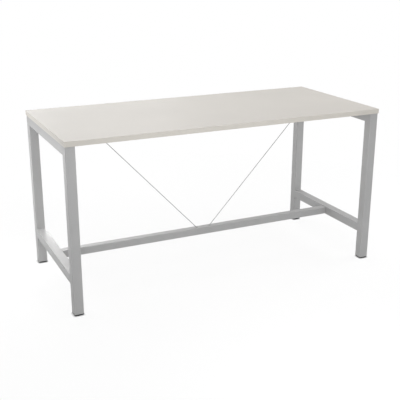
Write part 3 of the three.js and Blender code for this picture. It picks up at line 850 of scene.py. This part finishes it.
def crimped_sleeve(low, high):
    """A sleeve that is pressed flat in three places to hold the wire."""
    clear_selection()
    bpy.ops.mesh.primitive_cylinder_add(
        vertices=HOLE_SIDES, radius=SLEEVE_RADIUS, depth=high - low, location=(0, 0, (low + high) / 2),
    )
    sleeve = new_piece("sleeve")
    presses = [low + place for place in CRIMP_PLACES]
    for press in presses:
        for height in (-CRIMP_SLOPE, -CRIMP_FLAT, CRIMP_FLAT, CRIMP_SLOPE):
            edit(sleeve)
            bpy.ops.mesh.bisect(plane_co=(0, 0, press + height), plane_no=(0, 0, 1))
            stop_editing()
    edit(sleeve)
    for press in presses:
        select_parts("verts", lambda corner: abs(corner.co.z - press) < (CRIMP_FLAT + CRIMP_SLOPE) / 2)
        bpy.ops.transform.resize(value=(CRIMP_SQUEEZE, 1, 1), center_override=(0, 0, press))
    stop_editing()
    return sleeve


def make_forks():
    """Two cheeks about the tab, on a bridge with the sleeve below; made about the pin, then leaned."""
    low = -FORK_THROAT - FORK_BRIDGE
    fork = box_piece("fork", (-FORK_NOSE, -FORK_WIDTH / 2, low), (FORK_NOSE, FORK_WIDTH / 2, FORK_NOSE))

    def is_across_nose(edge):
        one, other = (corner.co for corner in edge.verts)
        return min(one.z, other.z) > FORK_NOSE - TINY and abs(one.x - other.x) < TINY

    edit(fork)
    select_parts("edges", is_across_nose)
    bpy.ops.mesh.bevel(offset=NOSE_CUT, segments=NOSE_STEPS, affect="EDGES")
    stop_editing()
    tidy_mesh(fork)
    soften(fork, FORK_EASE, FORK_EASE_STEPS)
    fuse(fork, crimped_sleeve(low - SLEEVE_LENGTH, low + FORK_BRIDGE / 2))
    reach = 2 * FORK_NOSE
    cut(fork, box_piece("slot", (-reach, -FORK_SLOT / 2, -FORK_THROAT), (reach, FORK_SLOT / 2, reach)))
    cut(fork, cross_drill((0, 0, 0), PIN_HOLE, 2 * FORK_WIDTH))
    bore_low = low - SLEEVE_LENGTH
    cut(fork, drill((0, 0, 0), SLEEVE_BORE, bore_low - WALL_MARGIN, bore_low + SLEEVE_BORE_DEPTH))
    settle(fork, WIRE_PIN, (0, wire_lean(), 0))
    hand_over_both(fork, "wire_fork_left", "wire_fork_right", "zinc_steel")


def make_pins():
    """Rivets with a domed head at each end."""
    inner = FORK_WIDTH / 2 + PIN_GAP
    upper = []
    for step in range(PIN_DOME_STEPS + 1):
        turn = QUARTER_TURN * step / PIN_DOME_STEPS
        rise = PIN_HEAD_HEIGHT * (PIN_RIM + (1 - PIN_RIM) * math.cos(turn))
        upper.append((PIN_HEAD * math.sin(turn), inner + rise))
    upper += [(PIN_HEAD, inner), (PIN_RADIUS, inner)]
    lower = [(radius, -height) for radius, height in reversed(upper)]
    pin = turned("pin", upper + lower)
    settle(pin, WIRE_PIN, (QUARTER_TURN, 0, 0))
    hand_over_both(pin, "wire_pin_left", "wire_pin_right", "zinc_steel")


# Feet

def foot_places():
    """The middle of each leg, by side and row."""
    names = [f"{side}_{row}" for side in SIDES for row in ROWS]
    return {name: middle_of("leg_" + name) for name in names}


def place_feet(piece, part, finish, body):
    """A copy of one foot piece under every leg."""
    for name, place in foot_places().items():
        node = f"foot_{part}_{name}"
        hand_over(twin(piece, node, place=place), node, finish, body.format(name))
    bpy.data.objects.remove(piece)


def insert_flange():
    """The square plate that closes a leg, with rounded corners and a rounded lower edge."""
    low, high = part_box("foot_insert_left_front")
    clear_selection()
    bpy.ops.mesh.primitive_plane_add(size=high.x - low.x, location=(0, 0, FLANGE_LOW))
    flange = new_piece("insert")
    edit(flange)
    bpy.ops.mesh.bevel(offset=FRAME_CORNER, segments=CORNER_STEPS, affect="VERTICES")
    bpy.ops.mesh.extrude_region_move(TRANSFORM_OT_translate={"value": (0, 0, FLANGE_HIGH - FLANGE_LOW)})
    stop_editing()
    tidy_mesh(flange)
    edit(flange)
    select_parts("edges", lambda edge: max(corner.co.z for corner in edge.verts) < FLANGE_LOW + TINY)
    bpy.ops.mesh.bevel(offset=FLANGE_ROUND, segments=FLANGE_ROUND_STEPS, affect="EDGES")
    stop_editing()
    return flange


def insert_plug(base):
    """The open box that grips inside the tube."""
    outer = PLUG_SIZE / 2
    inner = outer - PLUG_WALL
    plug = box_piece("plug", (-outer, -outer, base), (outer, outer, PLUG_HIGH))
    soften(plug, PLUG_EASE)
    cut(plug, box_piece("hollow", (-inner, -inner, FLANGE_HIGH), (inner, inner, PLUG_HIGH + CUT_MARGIN)))
    return plug


def make_inserts():
    """A flange that closes the tube end, a ribbed plug inside it and a boss for the nut."""
    base = FLANGE_LOW + PLUG_ROOT
    insert = insert_flange()
    fuse(insert, insert_plug(base), drill((0, 0, 0), BOSS_RADIUS, base, NUT_HIGH))
    reach = (PLUG_SIZE - PLUG_WALL) / 2
    half = RIB_WIDTH / 2
    fuse(insert, box_piece("rib", (-reach, -half, base), (reach, half, RIB_HIGH)))
    fuse(insert, box_piece("rib", (-half, -reach, base), (half, reach, RIB_HIGH)))
    cut(insert, drill((0, 0, 0), COUNTERBORE, FLANGE_LOW - CUT_MARGIN, COUNTERBORE_HIGH))
    cut(insert, drill((0, 0, 0), STEM_BORE, FLANGE_LOW, NUT_HIGH + CUT_MARGIN))
    cut(insert, drill((0, 0, 0), NUT_POCKET, NUT_LOW, NUT_HIGH + CUT_MARGIN, HEXAGON))
    place_feet(insert, "insert", "black_plastic", FRAME_BODY)


def screw_thread(low, high):
    """One groove of thread carried round by the Screw modifier, then trimmed and capped level."""
    thread = single_point("thread")
    start = low - 2 * THREAD_PITCH
    flank = THREAD_CREST - THREAD_ROOT
    slope = THREAD_PITCH / 2 - THREAD_LAND
    bpy.ops.transform.translate(value=(THREAD_ROOT, 0, start))
    for step in ((flank, 0, slope), (0, 0, THREAD_LAND), (-flank, 0, slope), (0, 0, THREAD_LAND)):
        bpy.ops.mesh.extrude_region_move(TRANSFORM_OT_translate={"value": step})
    stop_editing()
    turns = math.ceil((high - start) / THREAD_PITCH) + 1
    apply_modifier(
        thread, "SCREW", axis="Z", angle=math.tau, screw_offset=THREAD_PITCH, iterations=turns,
        steps=THREAD_STEPS, render_steps=THREAD_STEPS, use_merge_vertices=True, merge_threshold=TINY,
    )
    for height, upward in ((low, -1), (high, 1)):
        edit(thread)
        bpy.ops.mesh.bisect(
            plane_co=(0, 0, height), plane_no=(0, 0, upward), use_fill=True, clear_outer=True,
        )
        stop_editing()
    tidy_mesh(thread)
    return thread


def make_stems():
    """A threaded stud with a spanner hexagon, necked to the button that the pad holds."""
    stem = turned("stem", STEM_BUTTON + STEM_NECK, STEM_STEPS)
    hexagon = drill((0, 0, 0), HEX_RADIUS, HEX_LOW, HEX_HIGH, HEXAGON)
    soften(hexagon, HEX_EASE, angle=HEX_EASE_ANGLE)
    fuse(stem, hexagon, screw_thread(THREAD_LOW, THREAD_HIGH))
    place_feet(stem, "stem", "zinc_steel", "stem_{}")


def make_pads():
    """A crowned disc with a lipped socket, and rings of tread underneath."""
    profile = [(0, TREAD_DEPTH)]
    for ring in TREAD_RINGS:
        profile += [(ring - TREAD_ROOT, TREAD_DEPTH), (ring - TREAD_CREST, 0)]
        profile += [(ring + TREAD_CREST, 0), (ring + TREAD_ROOT, TREAD_DEPTH)]
    profile += PAD_RIM + PAD_CROWN + PAD_COLLAR + PAD_SOCKET
    pad = turned("pad", profile, PAD_STEPS)
    place_feet(pad, "pad", "black_plastic", "pad_{}")


# Welds

def weld_bead(name, points, closed):
    """A rippled bead along a line of points, drawn as a curve and then made a mesh."""
    curve = bpy.data.curves.new(name, "CURVE")
    curve.dimensions = "3D"
    curve.bevel_depth = BEAD_RADIUS
    curve.bevel_resolution = BEAD_SIDES
    curve.use_fill_caps = True
    line = curve.splines.new("POLY")
    line.points.add(len(points) - 1)
    line.use_cyclic_u = closed
    for number, place in enumerate(points):
        line.points[number].co = (*place, 1)
        line.points[number].radius = 1 + BEAD_RIPPLE * math.sin(number * math.tau / BEAD_POINTS)
    bead = bpy.data.objects.new(name, curve)
    bpy.context.scene.collection.objects.link(bead)
    take(bead)
    bpy.ops.object.convert(target="MESH")
    return bead


def fix_bead(bead, name):
    """The bead rides on the frame, painted with it, and stands for no CAD node."""
    bead.name = name
    tidy_mesh(bead)
    smooth(bead, BEAD_SMOOTH_ANGLE)
    bead.data.materials.clear()
    bead.data.materials.append(FINISHES["silver_paint"])
    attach(bead, FRAME_BODY)


def even_steps(outline):
    """Points along a line, a few for each ripple."""
    points = [outline[0]]
    for one, other in zip(outline, outline[1:]):
        count = max(1, round((other - one).length / (BEAD_STEP / BEAD_POINTS)))
        points += [one.lerp(other, (step + 1) / count) for step in range(count)]
    return points


def ring_points(centre, half_x, low_z, high_z, corner):
    """Even steps round a rounded rectangle that faces along Y."""
    corners = [(half_x, high_z), (-half_x, high_z), (-half_x, low_z), (half_x, low_z)]
    outline = []
    for quarter, (x, z) in enumerate(corners):
        middle_x = x - math.copysign(corner, x)
        middle_z = z - math.copysign(corner, z - (low_z + high_z) / 2)
        for step in range(BEAD_CORNER_STEPS + 1):
            turn = QUARTER_TURN * (quarter + step / BEAD_CORNER_STEPS)
            outline.append(Vector((
                centre.x + middle_x + corner * math.cos(turn), centre.y,
                centre.z + middle_z + corner * math.sin(turn),
            )))
    return even_steps(outline + outline[:1])[:-1]


def make_rail_welds():
    """A bead round each rail end: laid on the rail above and below, dressed flush at its sides."""
    sink = BEAD_RADIUS * (1 + BEAD_RIPPLE)
    for rail, over in (("cross_rail", BEAD_PROUD), ("top_rail", -sink)):
        low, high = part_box(f"{rail}_left")
        half_x = (high.x - low.x) / 2 - sink
        half_z = (high.z - low.z) / 2
        centre = Vector(((low.x + high.x) / 2, low.y + BEAD_OFFSET, (low.z + high.z) / 2))
        points = ring_points(centre, half_x, -half_z - BEAD_PROUD, half_z + over, BEAD_CORNER)
        front = weld_bead("weld", points, True)
        rear = twin(front, "weld_rear", place=(0, high.y - low.y - 2 * BEAD_OFFSET, 0))
        fix_bead(twin(front, "weld_far", turn=(0, 0, HALF_TURN)), f"weld_{rail}_right_rear")
        fix_bead(twin(rear, "weld_far", turn=(0, 0, HALF_TURN)), f"weld_{rail}_right_front")
        fix_bead(front, f"weld_{rail}_left_front")
        fix_bead(rear, f"weld_{rail}_left_rear")


def make_tab_welds():
    """A short bead on both sides of each wire tab."""
    low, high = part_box("wire_tab_left")
    for row, y in zip(ROWS, (low.y, high.y)):
        ends = [Vector((x, y, high.z)) for x in (low.x + BEAD_END, high.x - BEAD_END)]
        bead = weld_bead("weld", even_steps(ends), False)
        fix_bead(twin(bead, "weld_far", turn=(0, 0, HALF_TURN)), f"weld_tab_right_{row}")
        fix_bead(bead, f"weld_tab_left_{row}")


# Stage, lamps and camera

CAMERA_PLACE = (-2.13315, -4.49415, 2.12123)
CAMERA_YAW = math.radians(25.1539)
CAMERA_PITCH = math.radians(18.559)
CAMERA_LENS = 66.708
FLOOR_SIZE = 60.0
FLOOR_DROP = 0.0002
FLOOR_SEEN = (1.0, 1.0, 1.0, 1)
FLOOR_BOUNCE = (0.5, 0.5, 0.5, 1)
SHADOW_SHARE = 0.12
SHADOW_REACH = 3.0
SHADOW_FADE = 0.5
# How far the painted shade round the feet reaches, taken from an ambient occlusion node on the floor
PAINTED_SHADE_REACH = 0.015
MIDDLE_AIM = (0.0, 0.0, 0.7)
WIDE_BEAM = math.radians(180)
NARROW_BEAM = math.radians(40)

# Each lamp's name, place, width, watts, aim and beam
LAMPS = (
    ("front_fill", (-2.13, -4.49, 2.12), 1.5, 81.0, MIDDLE_AIM, WIDE_BEAM),
    ("front_low", (0.0, -2.4, 0.5), 1.0, 12.5, (0.9, 0.0, 0.2), WIDE_BEAM),
    ("over_front", (0.0, -1.5, 4.2), 4.0, 71.0, MIDDLE_AIM, WIDE_BEAM),
    ("over_rear", (0.0, 2.0, 4.0), 4.0, 47.0, MIDDLE_AIM, WIDE_BEAM),
    ("rear_high", (0.0, 4.0, 3.0), 3.5, 55.0, MIDDLE_AIM, WIDE_BEAM),
    ("rear_low", (-0.8, 4.6, 1.2), 1.6, 57.5, MIDDLE_AIM, WIDE_BEAM),
    ("right_side", (3.5, -0.5, 1.4), 2.0, 74.5, MIDDLE_AIM, WIDE_BEAM),
    ("left_side", (-2.0, 0.6, 0.75), 0.6, 7.4, MIDDLE_AIM, WIDE_BEAM),
    ("left_low", (-1.9, -0.2, 1.0), 0.6, 2.8, (-1.1, 0.4, 0.3), WIDE_BEAM),
    ("rail_end", (-0.2, 0.25, 0.9), 0.3, 0.6, (-1.066, 0.37, 0.258), NARROW_BEAM),
)

# Lamps that light the table and don't show in its gloss
FILL_LAMPS = ("front_fill", "right_side", "rail_end")


def seen_directly(tree):
    """One for rays from the camera, a gloss or glass, and nothing for those that light the object."""
    path = tree.nodes.new("ShaderNodeLightPath")
    first = tree.nodes.new("ShaderNodeMath")
    first.operation = "MAXIMUM"
    second = tree.nodes.new("ShaderNodeMath")
    second.operation = "MAXIMUM"
    tree.links.new(path.outputs["Is Camera Ray"], first.inputs[0])
    tree.links.new(path.outputs["Is Glossy Ray"], first.inputs[1])
    tree.links.new(first.outputs["Value"], second.inputs[0])
    tree.links.new(path.outputs["Is Transmission Ray"], second.inputs[1])
    return second.outputs["Value"]


def shadow_share(tree):
    """How much of the floor's own surface shows: most under the table, none far away or from below."""
    coordinates = tree.nodes.new("ShaderNodeTexCoord")
    mapping = tree.nodes.new("ShaderNodeMapping")
    mapping.inputs["Scale"].default_value = (1 / SHADOW_REACH, 1 / SHADOW_REACH, 1)
    fade = tree.nodes.new("ShaderNodeTexGradient")
    fade.gradient_type = "SPHERICAL"
    strength = tree.nodes.new("ShaderNodeMapRange")
    strength.inputs["From Max"].default_value = SHADOW_FADE
    strength.inputs["To Max"].default_value = SHADOW_SHARE
    geometry = tree.nodes.new("ShaderNodeNewGeometry")
    above = tree.nodes.new("ShaderNodeMath")
    above.operation = "SUBTRACT"
    above.inputs[0].default_value = 1
    share = tree.nodes.new("ShaderNodeMath")
    share.operation = "MULTIPLY"
    tree.links.new(coordinates.outputs["Object"], mapping.inputs["Vector"])
    tree.links.new(mapping.outputs["Vector"], fade.inputs["Vector"])
    tree.links.new(fade.outputs["Fac"], strength.inputs["Value"])
    tree.links.new(geometry.outputs["Backfacing"], above.inputs[1])
    tree.links.new(strength.outputs["Result"], share.inputs[0])
    tree.links.new(above.outputs["Value"], share.inputs[1])
    return share.outputs["Value"]


def make_floor():
    """A pale floor: the white backdrop shows through it, with painted shade that darkens it close to the
    feet, and a soft shadow.
    """
    clear_selection()
    bpy.ops.mesh.primitive_plane_add(size=FLOOR_SIZE, location=(0, 0, -FLOOR_DROP))
    floor = new_piece("floor")
    material = bpy.data.materials.new("floor_pale")
    material.use_nodes = True
    tree = material.node_tree
    tree.nodes.clear()
    output = tree.nodes.new("ShaderNodeOutputMaterial")
    shaded = tree.nodes.new("ShaderNodeBsdfDiffuse")
    shaded.inputs["Color"].default_value = FLOOR_SEEN
    bounce = tree.nodes.new("ShaderNodeBsdfDiffuse")
    bounce.inputs["Color"].default_value = FLOOR_BOUNCE
    clear = tree.nodes.new("ShaderNodeBsdfTransparent")
    # Painted shade: the ambient occlusion colours the clear part, so the backdrop seen through the floor
    # is darker close to the feet and under their flanges
    painted_contact_shade = tree.nodes.new("ShaderNodeAmbientOcclusion")
    painted_contact_shade.inputs["Distance"].default_value = PAINTED_SHADE_REACH
    seen = tree.nodes.new("ShaderNodeMixShader")
    whole = tree.nodes.new("ShaderNodeMixShader")
    tree.links.new(shadow_share(tree), seen.inputs["Fac"])
    tree.links.new(painted_contact_shade.outputs["Color"], clear.inputs["Color"])
    tree.links.new(clear.outputs["BSDF"], seen.inputs[1])
    tree.links.new(shaded.outputs["BSDF"], seen.inputs[2])
    tree.links.new(seen_directly(tree), whole.inputs["Fac"])
    tree.links.new(bounce.outputs["BSDF"], whole.inputs[1])
    tree.links.new(seen.outputs["Shader"], whole.inputs[2])
    tree.links.new(whole.outputs["Shader"], output.inputs["Surface"])
    floor.data.materials.append(material)


def make_world():
    """White where it is seen, and no light of its own on the object."""
    world = bpy.data.worlds.new("studio")
    bpy.context.scene.world = world
    world.use_nodes = True
    tree = world.node_tree
    background = tree.nodes["Background"]
    background.inputs["Color"].default_value = (1, 1, 1, 1)
    tree.links.new(seen_directly(tree), background.inputs["Strength"])


def make_lamps():
    """Soft square lamps; the fill lamps leave no bright patch on the top or the rails."""
    for name, place, size, watts, aim, beam in LAMPS:
        data = bpy.data.lights.new(name, "AREA")
        data.shape = "SQUARE"
        data.size = size
        data.energy = watts
        data.spread = beam
        lamp = bpy.data.objects.new(name, data)
        lamp.location = place
        lamp.rotation_euler = (Vector(aim) - Vector(place)).to_track_quat("-Z", "Y").to_euler()
        lamp.visible_camera = False
        lamp.visible_glossy = name not in FILL_LAMPS
        bpy.context.scene.collection.objects.link(lamp)


def make_camera():
    data = bpy.data.cameras.new("camera")
    data.lens = CAMERA_LENS
    camera = bpy.data.objects.new("camera", data)
    camera.location = CAMERA_PLACE
    camera.rotation_euler = (QUARTER_TURN - CAMERA_PITCH, 0, -CAMERA_YAW)
    bpy.context.scene.collection.objects.link(camera)
    bpy.context.scene.camera = camera
    bpy.context.scene.view_settings.view_transform = "Standard"


def finish_hidden_nodes():
    """The CAD pieces that stay as they are, mostly inside the tubes, get the finish of their slot."""
    for part in frame["record"]["subparts"]:
        node = frame["nodes"][part["node"]]
        if node.hide_render:
            continue
        node.data.materials.clear()
        node.data.materials.append(FINISHES[part["material_slot"]])


make_camera()
make_lamps()
make_world()
make_floor()
make_board()
make_long_band()
make_short_band()
make_legs()
make_cross_rails()
make_top_rails()
make_foot_rail()
make_spine_beam()
make_socket_screws()
make_top_screws()
make_wires()
make_tabs()
make_forks()
make_pins()
make_inserts()
make_stems()
make_pads()
make_rail_welds()
make_tab_welds()
finish_hidden_nodes()
